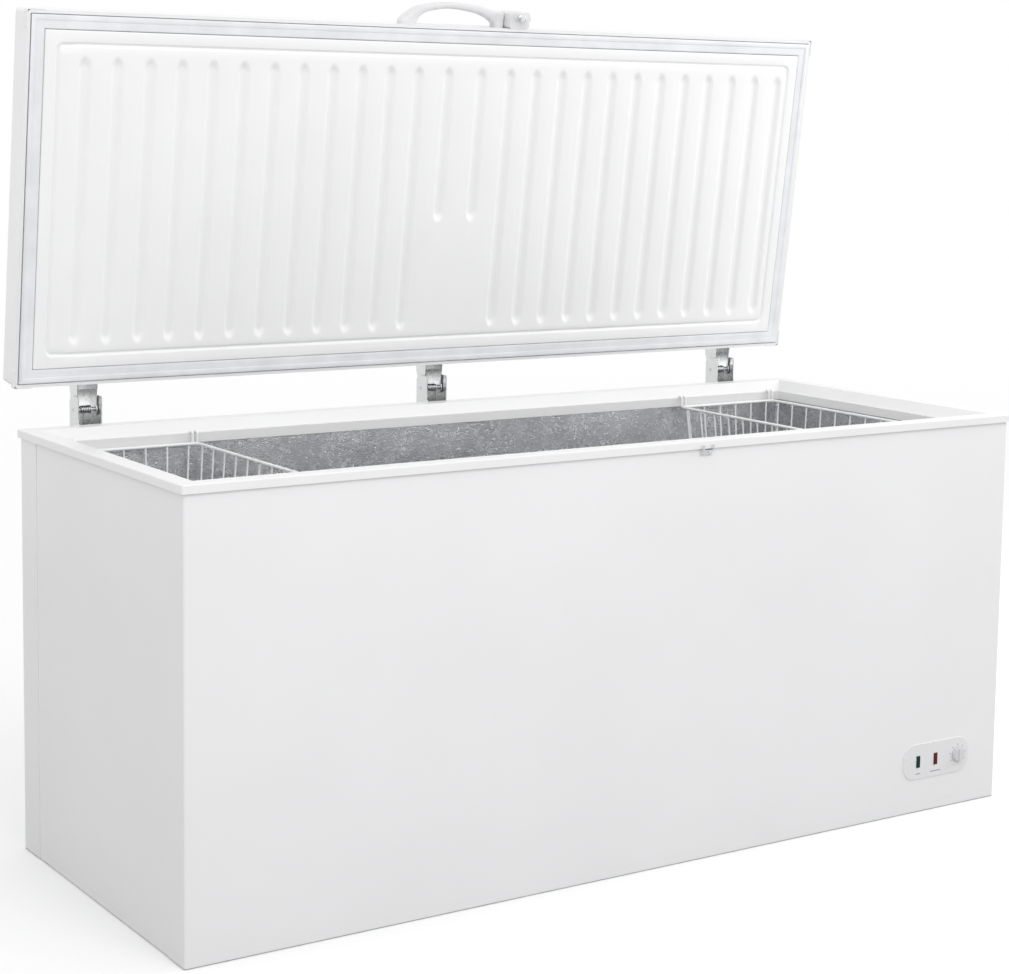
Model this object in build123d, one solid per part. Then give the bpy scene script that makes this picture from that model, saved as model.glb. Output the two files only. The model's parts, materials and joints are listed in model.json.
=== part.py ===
from build123d import *
import os

# Chest freezer: an insulated steel cabinet under a counterbalanced lid that stands open.
# Frame: +X to the right as seen from the front, +Y to the back, +Z up, in millimetres.
# The origin is the centre of the cabinet's footprint, on the underside of the base pan.
# Lid pieces are drawn with the lid shut and are then swung open about the hinge pins.

# Cabinet
BODY_X = 1810.0          # width over the steel panels
BODY_Y = 700.0           # depth over the steel panels
RIM_TOP = 790.0          # height of the top frame
SHEET = 1.2              # outer sheet steel
PANEL_BOTTOM = 2.0       # the panels hang just clear of the floor
PANEL_TOP = 783.0
FRONT_RETURN = 60.0      # how far the front panel wraps round the ends
BACK_RETURN = 75.0       # how far the back panel wraps round the ends
SIDE_LAP = 12.0          # how far an end panel runs on behind each return
CORNER_R = 4.0

# Top frame: u runs inward from its outer edge, w runs down from its top
RIM_OVERHANG = 5.0
RIM_SKIRT = 15.0         # outer skirt
LIP = 34.0               # flat sealing lip
LEDGE_START = 56.0       # the sloped face ends here
LEDGE_DROP = 20.0        # depth of the ledge that carries the baskets
FRAME_INNER = 66.0       # inner edge of the ledge
BAND_BOTTOM = 38.0       # lower edge of the inner band
FRAME_WALL = 3.0
FRAME_CORNER_R = 4.0
FRAME_EDGE_R = 2.0

# Storage well
LINER_U = 63.0           # inner face of the liner, measured inward from the rim
LINER_T = 0.8
FLOOR_Z = 62.0           # floor of the deep well
WELL_CORNER_R = 7.2      # upright inner corners of the liner
STEP_X = 540.0           # the step over the compressor bay starts here
STEP_Z = 410.0           # top of the step

# Compressor bay
BAY_X = 600.0
BAY_TOP = 350.0
BAY_SHEET = 0.8

# Lid, drawn shut
LID_X = 1816.0
LID_FRONT = -347.0
LID_BACK = 343.0
LID_BOTTOM = 794.0
LID_THICK = 62.0
LID_SHEET = 1.2
LID_CORNER_R = 8.0
LID_EDGE_R = 5.0
GASKET_IN = 34.0         # inner edge of the gasket, measured inward from the lid edge
GASKET_OUT = 7.0
GASKET_SEAT = 800.0
PANEL_FACE = 792.0       # exposed face of the inner panel
PANEL_T = 2.5

# Grooves pressed into the inner panel
RIB_MIDDLE = 12.0        # x of the middle of the pattern
SHORT_RIB_X = 39.0       # the two short grooves, measured from the middle
LONG_RIB_X = 108.5       # the nearest long groove on each side
LONG_RIB_PITCH = 63.65
LONG_RIBS = 12           # on each side
RIB_WIDTH = 30.0
RIB_DEPTH = 5.5
RIB_FRONT_GAP = 77.0     # from the lid's front edge to the groove ends
RIB_BACK_GAP = 73.0
SHORT_BACK_GAP = 295.0
BORDER_GAP = 54.5        # border groove, measured inward from the lid edge
BORDER_WIDTH = 10.0
BORDER_DEPTH = 3.5
BORDER_CORNER_R = 8.0

# Hinges
HINGE_X = (-760.0, 0.0, 760.0)
PIN_Y = 396.0
PIN_Z = 812.5
PIN_R = 4.0
OPEN_ANGLE = 82.75       # how far the open lid stands from shut
BRACKET_X = 48.0
BRACKET_T = 2.0
BRACKET_BACK = 413.0
BRACKET_TOP = 839.0
BRACKET_LOW = 640.0
BRACKET_FLANGE = 16.0
LEAF_X = 40.0
LEAF_T = 2.0
LEAF_TOP = 846.0
RUN_CLEAR = 0.05         # radial clearance of every running fit
BOSS_R = 12.0
FLANGE_SCREW_Z = (680.0, 740.0)
LEAF_SCREW_X = 9.5
LEAF_SCREW_Z = (818.0, 836.0)
SCREW_R = 2.5
SPRING_WIRE = 1.5
SPRING_TURNS = 6
SPRING_PITCH = 3.6
SPRING_LEG = 100.0
SPRING_R = PIN_R + SPRING_WIRE + 0.8

# Handle and lock
HANDLE_RIGHT = 108.0
HANDLE_OUTER = ((-132, 0), (-130, 10), (-106, 28), (-84, 37), (-25, 46), (40, 43), (84, 34), (108, 31))
HANDLE_INNER = ((86, 0), (82, 9), (69, 17), (40, 26), (-18, 33), (-60, 30), (-88, 20), (-97, 0))
HANDLE_Z = 28.0
HANDLE_SCREW_X = (-114.0, 98.0)
HANDLE_SEAT = 3.0        # plastic left under each screw head
HANDLE_SCREW_R = 2.1
HANDLE_SCREW_HEAD_R = 4.0
LOCK_X = 133.0
LOCK_Y = -370.0
LOCK_R = 8.0
LOCK_WALL = 2.5          # housing in front of the barrel
LOCK_TIP_R = 6.5
LOCK_TIP_Z = 765.0
STRIKER_HALF = 13.0
STRIKER_LOW = 762.0
STRIKER_SHELF = 773.5    # top of the shelf that the tongue turns under
STRIKER_TOP = 782.0
STRIKER_REACH = 11.0     # how far the shelf stands out
STRIKER_T = 2.0
STRIKER_EAR = 4.0
STRIKER_SCREW_X = 7.5
STRIKER_SCREW_Z = 767.0
STRIKER_SCREW_R = 1.7

# Control plate on the front
CONTROL_X = 740.0
CONTROL_Z = 104.0
CONTROL_LENGTH = 178.0
CONTROL_HEIGHT = 72.0
CONTROL_T = 1.6
CONTROL_CORNER_R = 30.0
CONTROL_EDGE_R = 0.8
LENS_X = (691.0, 738.0)
LENS_SIZE = (10.0, 24.0)
LENS_PROUD = 1.2
DIAL_X = 799.0
DIAL_R = 15.0
DIAL_HEIGHT = 9.0
DIAL_SHAFT_R = 3.0

# Baskets
BASKET_X = 264.0
BASKET_Y = 566.0
BASKET_TOP = 754.0
BASKET_DEPTH = 205.0
BASKET_TAPER = 18.0
BASKET_WIRE = 4.0
BASKET_RIM_WIRE = 6.0
BASKET_CENTRES = (-711.0, 694.0)
HOOK_X = 115.0
HOOK_CLEAR = 0.3

# Refrigeration
COIL_TUBE_R = 4.0
COIL_LEVELS = (110, 190, 270, 350, 470, 545, 620, 690)
CONDENSER_TUBE_R = 2.5
CONDENSER_RUNS = 7
CONDENSER_PITCH = 90.0
CONDENSER_LOW = 120.0
COMPRESSOR_X = 752.0
COMPRESSOR_Y = 60.0
COMPRESSOR_R = 82.0
COMPRESSOR_LEG = 20.0    # height of the rubber feet
SEAM_R = COMPRESSOR_R + 3
PIPE_R = 3.2
DRIER_AT = (BAY_X + 22, -60, 200)
GLAND_R = 9.0
GLAND_AT = (700.0, BODY_Y / 2, 60.0)
VENT_SLOT = (150.0, 5.0)
VENT_PITCH = 14.0
VENT_ROWS = 14
VENT_LOW = 90.0
VENT_Y = (-110.0, 110.0)
PAN_EDGE = 22.0          # height of the base pan's upturned edge

HALF_X = BODY_X / 2
HALF_Y = BODY_Y / 2
RIM_X = HALF_X + RIM_OVERHANG
RIM_Y = HALF_Y + RIM_OVERHANG
LINER_X = RIM_X - LINER_U
LINER_Y = RIM_Y - LINER_U
LID_Y = LID_BACK - LID_FRONT
LID_MID_Y = (LID_BACK + LID_FRONT) / 2
LID_TOP = LID_BOTTOM + LID_THICK
LID_MID_Z = LID_BOTTOM + LID_THICK / 2
PAN_X = HALF_X - 2 * SHEET - 1
PAN_Y = HALF_Y - SHEET - 0.2


def block(x_range, y_range, z_range):
    """An upright box between two limits on each axis."""
    size = [limits[1] - limits[0] for limits in (x_range, y_range, z_range)]
    centre = [(limits[1] + limits[0]) / 2 for limits in (x_range, y_range, z_range)]
    return Pos(*centre) * Box(*size)


def rounded_block(x_range, y_range, z_range, radius):
    """A box with rounded upright edges."""
    solid = block(x_range, y_range, z_range)
    return fillet(solid.edges().filter_by(Axis.Z), radius)


def rod(radius, length, centre, direction):
    """A round bar centred on a point and lying along a direction."""
    return Plane(origin=centre, z_dir=direction) * Cylinder(radius, length)


def side_profile(points, x_low, x_high):
    """A closed outline of (y, z) points, extruded from x_low to x_high."""
    outline = Polyline(*[(x_low, y, z) for y, z in points], close=True)
    return extrude(make_face(outline), amount=x_high - x_low, dir=(1, 0, 0))


def mitred_ring(profile, half_x, half_y, top):
    """A rectangular ring with mitred corners, from a profile of (inward, down) points."""
    reach = max(inward for inward, _ in profile) + 1
    ring = None
    for along, across, turn in ((half_x, half_y, 0), (half_y, half_x, 90),
                                (half_x, half_y, 180), (half_y, half_x, 270)):
        points = [(-across + inward, top - down) for inward, down in profile]
        bar = side_profile(points, -along - reach, along + reach)
        corners = [(-along - reach, -across - reach), (along + reach, -across - reach),
                   (along - reach, -across + reach), (-along + reach, -across + reach)]
        wedge = extrude(make_face(Polyline(*corners, close=True)), amount=2 * top)
        side = Rot(0, 0, turn) * (bar & wedge)
        ring = side if ring is None else ring + side
    return ring


def swing_open(solid):
    """Take a lid piece from the shut position to the open one."""
    return Pos(0, PIN_Y, PIN_Z) * Rot(-OPEN_ANGLE, 0, 0) * Pos(0, -PIN_Y, -PIN_Z) * solid


# ---------------------------------------------------------------- cabinet shell

def base_pan():
    """Flat steel pan under the cabinet with a low upturned edge."""
    pan = block((-PAN_X, PAN_X), (-PAN_Y, PAN_Y), (0, PAN_EDGE))
    inside = block((-PAN_X + SHEET, PAN_X - SHEET), (-PAN_Y + SHEET, PAN_Y - SHEET), (SHEET, PAN_EDGE + 1))
    return pan - inside


def wrapped_panel(front, length):
    """A wide panel whose ends wrap round the cabinet corners by the given length."""
    outer = rounded_block((-HALF_X, HALF_X), (-HALF_Y, HALF_Y), (PANEL_BOTTOM, PANEL_TOP), CORNER_R)
    hollow = rounded_block((-HALF_X + SHEET, HALF_X - SHEET), (-HALF_Y + SHEET, HALF_Y - SHEET),
                           (PANEL_BOTTOM - 1, PANEL_TOP + 1), CORNER_R - SHEET)
    keep = (-HALF_Y - 1, -HALF_Y + length) if front else (HALF_Y - length, HALF_Y + 1)
    return (outer - hollow) & block((-RIM_X, RIM_X), keep, (0, RIM_TOP))


def flange_screw_places():
    """(x, z) of every screw through a hinge bracket's flange."""
    places = []
    for x in HINGE_X:
        for side in (-1, 1):
            places += [(x + side * (BRACKET_X + BRACKET_FLANGE) / 2, z) for z in FLANGE_SCREW_Z]
    return places


def leaf_screw_places():
    """(x, z) of every screw through a hinge leaf, with the lid shut."""
    places = []
    for x in HINGE_X:
        for side in (-1, 1):
            places += [(x + side * LEAF_SCREW_X, z) for z in LEAF_SCREW_Z]
    return places


def striker_screw_places():
    """x of the striker's two screws."""
    return [LOCK_X - STRIKER_SCREW_X, LOCK_X + STRIKER_SCREW_X]


def front_panel():
    """Front sheet with the openings for the controls."""
    panel = wrapped_panel(True, FRONT_RETURN)
    for x in LENS_X:
        panel -= block((x - 8, x + 8), (-HALF_Y - 2, -HALF_Y + 5), (CONTROL_Z - 15, CONTROL_Z + 15))
    for x in striker_screw_places():
        panel -= rod(STRIKER_SCREW_R, 6, (x, -HALF_Y, STRIKER_SCREW_Z), (0, 1, 0))
    return panel - rod(DIAL_SHAFT_R + 3, 20, (DIAL_X, -HALF_Y, CONTROL_Z), (0, 1, 0))


def back_panel():
    """Back sheet with the screw holes of the hinges and the opening for the mains lead's gland."""
    panel = wrapped_panel(False, BACK_RETURN)
    for x, z in flange_screw_places():
        panel -= rod(SCREW_R, 6, (x, HALF_Y, z), (0, 1, 0))
    return panel - rod(GLAND_R, 20, GLAND_AT, (0, 1, 0))


def end_panel(side):
    """Flat end sheet, set one thickness in behind the two wrapped corners."""
    outer = side * (HALF_X - SHEET)
    inner = outer - side * SHEET
    y_range = (-HALF_Y + FRONT_RETURN - SIDE_LAP, HALF_Y - BACK_RETURN + SIDE_LAP)
    return block(sorted((outer, inner)), y_range, (PANEL_BOTTOM, PANEL_TOP))


def vented_end_panel():
    """Right end sheet with rows of slots that let the compressor bay breathe."""
    panel = end_panel(1)
    length, width = VENT_SLOT
    for row in range(VENT_ROWS):
        z = VENT_LOW + row * VENT_PITCH
        for y in VENT_Y:
            face = Plane(origin=(HALF_X - 5, y, z), x_dir=(0, 1, 0), z_dir=(1, 0, 0))
            panel -= extrude(face * SlotOverall(length, width), amount=10)
    return panel


def top_frame():
    """Moulded frame round the mouth: skirt, sealing lip, sloped face, ledge and inner band."""
    wall = FRAME_WALL
    profile = [(0, RIM_SKIRT), (0, 0), (LIP, 0), (LEDGE_START, LEDGE_DROP), (FRAME_INNER, LEDGE_DROP),
               (FRAME_INNER, BAND_BOTTOM), (LINER_U, BAND_BOTTOM), (LINER_U, LEDGE_DROP + wall),
               (LEDGE_START - 1, LEDGE_DROP + wall), (LIP - 1, wall), (wall, wall), (wall, RIM_SKIRT)]
    frame = mitred_ring(profile, RIM_X, RIM_Y, RIM_TOP)
    frame = fillet(upright_edges(frame, RIM_X), FRAME_CORNER_R)
    frame = fillet(upright_edges(frame, LINER_X), WELL_CORNER_R)
    frame = fillet(upright_edges(frame, RIM_X - FRAME_INNER), WELL_CORNER_R + LINER_U - FRAME_INNER)
    crown = [edge for edge in frame.edges().group_by(Axis.Z)[-1] if outermost(edge)]
    return fillet(crown, FRAME_EDGE_R)


def upright_edges(frame, x):
    """The frame's upright edges at a distance either side of its middle."""
    uprights = frame.edges().filter_by(Axis.Z)
    return [edge for edge in uprights if abs(abs(edge.center().X) - x) < 0.01]


def outermost(edge):
    """Whether an edge lies on the frame's outer border, away from its sealing lip."""
    centre = edge.center()
    return abs(centre.X) > RIM_X - FRAME_CORNER_R or abs(centre.Y) > RIM_Y - FRAME_CORNER_R


# ---------------------------------------------------------------- storage well

def well(grow, top):
    """The storage well with its step, grown outward by a margin."""
    deep = block((-LINER_X - grow, STEP_X + grow), (-LINER_Y - grow, LINER_Y + grow), (FLOOR_Z - grow, top))
    shallow = block((STEP_X - 1, LINER_X + grow), (-LINER_Y - grow, LINER_Y + grow), (STEP_Z - grow, top))
    both = deep + shallow
    return fillet(both.edges().filter_by(Axis.Z), WELL_CORNER_R + grow)


def inner_liner():
    """Embossed aluminium liner, stepped at the right over the compressor bay."""
    top = RIM_TOP - LEDGE_DROP - FRAME_WALL - 3
    return well(LINER_T, top) - well(0, top + 1)


def bay_lining():
    """Steel wall and ceiling that close the compressor bay off from the foam."""
    y = PAN_Y - SHEET - 0.1
    wall = block((BAY_X - BAY_SHEET, BAY_X), (-y, y), (SHEET, BAY_TOP))
    right = HALF_X - 2 * SHEET
    ceiling = block((BAY_X - BAY_SHEET, right), (-y, y), (BAY_TOP, BAY_TOP + BAY_SHEET))
    return wall + ceiling


def coil_channel(level):
    """Channel in the foam for one loop of the evaporator."""
    reach = 2 * COIL_TUBE_R + 1
    right = LINER_X if level > STEP_Z else STEP_X
    z_range = (level - COIL_TUBE_R - 1, level + COIL_TUBE_R + 1)
    y = LINER_Y + LINER_T + reach
    return block((-LINER_X - LINER_T - reach, right + LINER_T + reach), (-y, y), z_range)


def condenser_pocket(side):
    """Shallow pocket in the foam behind the front or back panel for the condenser."""
    depth = 2 * CONDENSER_TUBE_R + 0.5
    face = side * (HALF_Y - SHEET)
    y_range = sorted((face, face - side * depth))
    top = CONDENSER_LOW + (CONDENSER_RUNS - 1) * CONDENSER_PITCH + 10
    return block((-HALF_X + 95, BAY_X - 35), y_range, (CONDENSER_LOW - 10, top))


def cabinet_foam():
    """Rigid foam poured between the panels and the liner."""
    x = HALF_X - 2 * SHEET - 0.1
    y = HALF_Y - SHEET - 0.1
    body = rounded_block((-x, x), (-y, y), (PAN_EDGE, RIM_TOP - FRAME_WALL), CORNER_R)
    x = PAN_X - SHEET - 0.1
    y = PAN_Y - SHEET - 0.1
    body += block((-x, x), (-y, y), (SHEET, PAN_EDGE))
    body -= well(LINER_T, RIM_TOP + 10)
    body -= block((BAY_X - BAY_SHEET, HALF_X), (-HALF_Y, HALF_Y), (0, BAY_TOP + BAY_SHEET))
    under_slope = [(-20, -20), (LINER_U + 5, -20), (LINER_U + 5, LEDGE_DROP + FRAME_WALL),
                   (LEDGE_START - 1, LEDGE_DROP + FRAME_WALL), (LIP - 1, FRAME_WALL), (-20, FRAME_WALL)]
    body -= mitred_ring(under_slope, RIM_X, RIM_Y, RIM_TOP)
    for level in COIL_LEVELS:
        body -= coil_channel(level)
    for x, low, high in riser_places():
        y = LINER_Y + LINER_T
        body -= block((x - 5, x + 5), (y, y + 2 * COIL_TUBE_R + 1), (low, high))
    for side in (-1, 1):
        body -= condenser_pocket(side)
    return body


# ---------------------------------------------------------------- refrigeration

def riser_places():
    """(x, low, high) of the short tubes that join one evaporator turn to the next."""
    pairs = zip(COIL_LEVELS, COIL_LEVELS[1:])
    return [(-300 + 60 * index, low, high) for index, (low, high) in enumerate(pairs)]


def tube_loop(level):
    """One closed turn of evaporator tube round the outside of the liner."""
    right = LINER_X if level > STEP_Z else STEP_X
    gap = LINER_T + COIL_TUBE_R + 0.1
    width = LINER_X + right + 2 * gap
    centre_x = (right - LINER_X) / 2
    bend = WELL_CORNER_R + gap
    path = Pos(centre_x, 0, level) * RectangleRounded(width, 2 * (LINER_Y + gap), bend).wire()
    start = path @ 0
    return sweep(Plane(origin=start, z_dir=path % 0) * Circle(COIL_TUBE_R), path=path)


def evaporator_coil():
    """Eight turns of tube joined by short risers on the back of the liner."""
    coil = tube_loop(COIL_LEVELS[0])
    y = LINER_Y + LINER_T + COIL_TUBE_R + 0.1
    for x, low, high in riser_places():
        coil += tube_loop(high)
        coil += rod(COIL_TUBE_R - 0.5, high - low, (x, y, (low + high) / 2), (0, 0, 1))
    return coil


def condenser_coil(side):
    """Serpentine of tube against the inside of the front or back panel."""
    y = side * (HALF_Y - SHEET - CONDENSER_TUBE_R - 0.2)
    left, right = -HALF_X + 105, BAY_X - 45
    points = []
    for run in range(CONDENSER_RUNS):
        z = CONDENSER_LOW + run * CONDENSER_PITCH
        ends = (left, right) if run % 2 == 0 else (right, left)
        points += [(ends[0], y, z), (ends[1], y, z)]
    path = FilletPolyline(*points, radius=CONDENSER_PITCH / 2 - 1)
    return sweep(Plane(origin=path @ 0, z_dir=path % 0) * Circle(CONDENSER_TUBE_R), path=path)


def compressor():
    """Hermetic compressor: a welded steel can on a cross-shaped foot plate."""
    low = SHEET + COMPRESSOR_LEG
    can = Pos(0, 0, low + 90) * Cylinder(COMPRESSOR_R, 150)
    can = fillet(can.edges(), 34)
    seam = Pos(0, 0, low + 92) * Cylinder(SEAM_R, 8)
    plate = block((-100, 100), (-75, 75), (low, low + 3))
    holes = [rod(4.05, 20, (x, y, low), (0, 0, 1)) for x, y in foot_places(0, 0)]
    skirt = Pos(0, 0, low + 14) * Cylinder(COMPRESSOR_R - 22, 24)
    whole = can + seam + plate + skirt
    for hole in holes:
        whole -= hole
    return Pos(COMPRESSOR_X, COMPRESSOR_Y, 0) * whole


def foot_places(x, y):
    """Centres of the compressor's four feet about a point."""
    return [(x + sx * 86, y + sy * 62) for sx in (-1, 1) for sy in (-1, 1)]


def compressor_feet():
    """Rubber bushes under the compressor's foot plate."""
    feet = []
    for x, y in foot_places(COMPRESSOR_X, COMPRESSOR_Y):
        foot = Pos(x, y, SHEET + COMPRESSOR_LEG / 2) * (Cylinder(13, COMPRESSOR_LEG) - Cylinder(4.05, 40))
        feet.append(foot)
    return Compound(children=feet)


def compressor_bolts():
    """Hexagon bolts that hold the compressor down through its bushes."""
    bolts = []
    plate_top = SHEET + COMPRESSOR_LEG + 3
    for x, y in foot_places(COMPRESSOR_X, COMPRESSOR_Y):
        shank = Pos(x, y, (SHEET + plate_top) / 2) * Cylinder(4, plate_top - SHEET)
        head = Pos(x, y, plate_top) * extrude(RegularPolygon(7, 6), amount=5)
        bolts.append(shank + head)
    return Compound(children=bolts)


def starter_cover():
    """Plastic box over the compressor's terminals, relay and overload."""
    back = COMPRESSOR_Y - SEAM_R - 0.1
    return rounded_block((COMPRESSOR_X - 32, COMPRESSOR_X + 32), (back - 42, back), (70, 150), 6)


def pipe(points, radius, bend):
    """A round pipe along straight runs joined by equal bends."""
    path = FilletPolyline(*points, radius=bend)
    return sweep(Plane(origin=path @ 0, z_dir=path % 0) * Circle(radius), path=path)


def suction_pipe():
    """Return pipe from the bay wall to the compressor."""
    x = COMPRESSOR_X - COMPRESSOR_R - 3.2
    points = [(BAY_X + 0.2, 240, 300), (BAY_X + 40, 240, 300), (BAY_X + 40, 240, 110),
              (BAY_X + 40, COMPRESSOR_Y, 110), (x, COMPRESSOR_Y, 110)]
    return pipe(points, PIPE_R, 14)


def discharge_pipe():
    """Hot-gas pipe from the compressor to the bay wall."""
    x = COMPRESSOR_X - COMPRESSOR_R - 3.2
    points = [(x + 9, COMPRESSOR_Y - 40, 140), (BAY_X + 60, COMPRESSOR_Y - 40, 140),
              (BAY_X + 60, -220, 140), (BAY_X + 60, -220, 300), (BAY_X + 0.2, -220, 300)]
    return pipe(points, PIPE_R - 0.7, 14)


def filter_drier():
    """Copper filter drier, upright beside the bay wall."""
    body = Cylinder(9, 90)
    body = fillet(body.edges(), 5)
    body += Pos(0, 0, 52) * Cylinder(2.6, 24)
    body += Pos(0, 0, -50) * Cylinder(1.6, 16)
    return Pos(*DRIER_AT) * body


def capillary_tube():
    """Thin tube from the drier, through the bay wall to the evaporator."""
    x, y, z = DRIER_AT
    points = [(x, y, z - 58.1), (x, y, z - 100), (x, y + 90, z - 100), (x, y + 90, z + 60),
              (BAY_X + 0.2, y + 90, z + 60)]
    return pipe(points, 1.2, 9)


def cable_gland():
    """Grommet where the mains lead leaves the back of the bay."""
    body = rod(GLAND_R, 8, (GLAND_AT[0], GLAND_AT[1] - SHEET / 2, GLAND_AT[2]), (0, 1, 0))
    flange = rod(GLAND_R + 4, 3, (GLAND_AT[0], GLAND_AT[1] + 1.5, GLAND_AT[2]), (0, 1, 0))
    return body + flange - rod(4.2, 40, GLAND_AT, (0, 1, 0))


# ---------------------------------------------------------------- controls

def control_plate():
    """Rounded plate that carries the two lamps and the thermostat dial."""
    face = -HALF_Y - CONTROL_T
    plane = Plane(origin=(CONTROL_X, -HALF_Y, CONTROL_Z), x_dir=(1, 0, 0), z_dir=(0, -1, 0))
    outline = plane * RectangleRounded(CONTROL_LENGTH, CONTROL_HEIGHT, CONTROL_CORNER_R)
    plate = extrude(outline, amount=CONTROL_T)
    plate = fillet(plate.edges().group_by(Axis.Y)[0], CONTROL_EDGE_R)
    width, height = LENS_SIZE
    for x in LENS_X:
        plate -= block((x - width / 2, x + width / 2), (face - 1, -HALF_Y + 1),
                       (CONTROL_Z - height / 2, CONTROL_Z + height / 2))
    return plate - rod(DIAL_SHAFT_R + 2, 20, (DIAL_X, -HALF_Y, CONTROL_Z), (0, 1, 0))


def indicator_lens(x):
    """Rectangular lamp lens that stands slightly proud of the plate."""
    width, height = LENS_SIZE
    face = -HALF_Y - CONTROL_T - LENS_PROUD
    lens = block((x - width / 2, x + width / 2), (face, -HALF_Y + 5),
                 (CONTROL_Z - height / 2, CONTROL_Z + height / 2))
    return fillet(lens.edges().group_by(Axis.Y)[0], 1)


def lamp_holder(x):
    """Moulded holder behind a lens."""
    width, height = LENS_SIZE
    return block((x - width / 2 - 2, x + width / 2 + 2), (-HALF_Y + 5, -HALF_Y + 27),
                 (CONTROL_Z - height / 2 - 2, CONTROL_Z + height / 2 + 2))


def thermostat():
    """Thermostat body behind the plate, with the bushing that guides the dial's shaft."""
    y = -HALF_Y + SHEET
    body = rounded_block((DIAL_X - 22, DIAL_X + 22), (y, y + 30), (CONTROL_Z - 20, CONTROL_Z + 20), 3)
    reach = CONTROL_T + SHEET
    bushing = rod(DIAL_SHAFT_R + 1.5, reach, (DIAL_X, y - reach / 2, CONTROL_Z), (0, 1, 0))
    bore = rod(DIAL_SHAFT_R + RUN_CLEAR, 20, (DIAL_X, y, CONTROL_Z), (0, 1, 0))
    return body + bushing - bore


def thermostat_dial():
    """Dial with a raised grip bar and its shaft."""
    face = -HALF_Y - CONTROL_T
    back = face - 0.8
    skirt = rod(DIAL_R, 3, (DIAL_X, back - 1.5, CONTROL_Z), (0, 1, 0))
    cap = rod(DIAL_R - 2, DIAL_HEIGHT - 6, (DIAL_X, back - 3 - (DIAL_HEIGHT - 6) / 2, CONTROL_Z), (0, 1, 0))
    grip = block((DIAL_X - 3, DIAL_X + 3), (back - DIAL_HEIGHT, back - 3),
                 (CONTROL_Z - DIAL_R + 3, CONTROL_Z + DIAL_R - 3))
    reach = SHEET - HALF_Y + 9
    shaft = rod(DIAL_SHAFT_R, reach - back, (DIAL_X, (reach + back) / 2, CONTROL_Z), (0, 1, 0))
    return skirt + cap + grip + shaft


# ---------------------------------------------------------------- hinges

def pin_disc(radius, x_low, x_high):
    """A disc about the hinge axis."""
    return rod(radius, x_high - x_low, ((x_low + x_high) / 2, PIN_Y, PIN_Z), (1, 0, 0))


def hinge_bracket(x):
    """Fixed hinge half: a channel open to the front, with flanges on the back panel."""
    half = BRACKET_X / 2
    shelf = RIM_TOP - RIM_SKIRT - 3
    flange_low = BRACKET_LOW + 20
    web_low = BRACKET_LOW + 45
    front = PIN_Y - 24
    cheek = [(HALF_Y, flange_low), (HALF_Y + 15, BRACKET_LOW), (BRACKET_BACK, web_low),
             (BRACKET_BACK, BRACKET_TOP - 10), (BRACKET_BACK - 6, BRACKET_TOP), (front + 3, BRACKET_TOP),
             (front, BRACKET_TOP - 3), (front, shelf + 18), (HALF_Y + 8, shelf), (HALF_Y, shelf - 8)]
    bracket = block((-half, half), (BRACKET_BACK - BRACKET_T, BRACKET_BACK), (web_low, PIN_Z - 4))
    for side in (-1, 1):
        inner = side * (half - BRACKET_T)
        bracket += side_profile(cheek, *sorted((side * half, inner)))
        flange_ends = sorted((inner, side * (half + BRACKET_FLANGE)))
        bracket += block(flange_ends, (HALF_Y, HALF_Y + BRACKET_T), (flange_low, shelf - 8))
        for z in FLANGE_SCREW_Z:
            place = (side * (half + BRACKET_FLANGE / 2), HALF_Y, z)
            bracket -= rod(SCREW_R, 10, place, (0, 1, 0))
    return Pos(x, 0, 0) * (bracket - pin_disc(PIN_R, -half - 1, half + 1))


def hinge_leaf(x):
    """Moving hinge half: a narrower channel, its web on top when shut, with a flange on the lid."""
    half = LEAF_X / 2
    low = PIN_Z - 6.5
    top = [(LID_BACK, LEAF_TOP), (LID_BACK + 22, LEAF_TOP - 4), (PIN_Y + 4, PIN_Z + BOSS_R - 1)]
    under_web = [(y - 0.4 * LEAF_T, z - LEAF_T) for y, z in reversed(top)]
    cheek = top + [(PIN_Y, PIN_Z), (PIN_Y - 8, low), (LID_BACK, low)]
    leaf = block((-half, half), (LID_BACK, LID_BACK + LEAF_T), (low, LEAF_TOP))
    for z in LEAF_SCREW_Z:
        for side in (-1, 1):
            leaf -= rod(SCREW_R, 12, (side * LEAF_SCREW_X, LID_BACK, z), (0, 1, 0))
    web = side_profile(top + under_web, -half, half)
    leaf += web & block((-half, half), (LID_BACK, PIN_Y + 20), (low, LEAF_TOP))
    for side in (-1, 1):
        ends = sorted((side * half, side * (half - LEAF_T)))
        leaf += side_profile(cheek, *ends)
        leaf += pin_disc(BOSS_R, *ends)
    leaf -= pin_disc(PIN_R + RUN_CLEAR, -half - 1, half + 1)
    return Pos(x, 0, 0) * leaf


def hinge_pins():
    """Pins pressed into the brackets, with a head at one end."""
    pins = []
    half = BRACKET_X / 2
    for x in HINGE_X:
        pin = pin_disc(PIN_R, -half, half + 2) + pin_disc(PIN_R + 2.5, half, half + 2)
        pins.append(Pos(x, 0, 0) * pin)
    return Compound(children=pins)


def hinge_springs():
    """Torsion springs round the pins, each with a leg that hangs down the front of its channel."""
    length = SPRING_TURNS * SPRING_PITCH
    helix = Helix(SPRING_PITCH, length, SPRING_R)
    start = helix @ 0
    coil = sweep(Plane(origin=start, z_dir=helix % 0) * Circle(SPRING_WIRE), path=helix, is_frenet=True)
    coil = Pos(-length / 2, PIN_Y, PIN_Z) * Rot(0, 90, 0) * coil
    leg_y = PIN_Y - SPRING_R
    leg = rod(SPRING_WIRE, SPRING_LEG, (length / 2, leg_y, PIN_Z - SPRING_LEG / 2), (0, 0, 1))
    springs = []
    for x in HINGE_X:
        springs.append(Pos(x, 0, 0) * (coil + leg))
    return Compound(children=springs)


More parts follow.
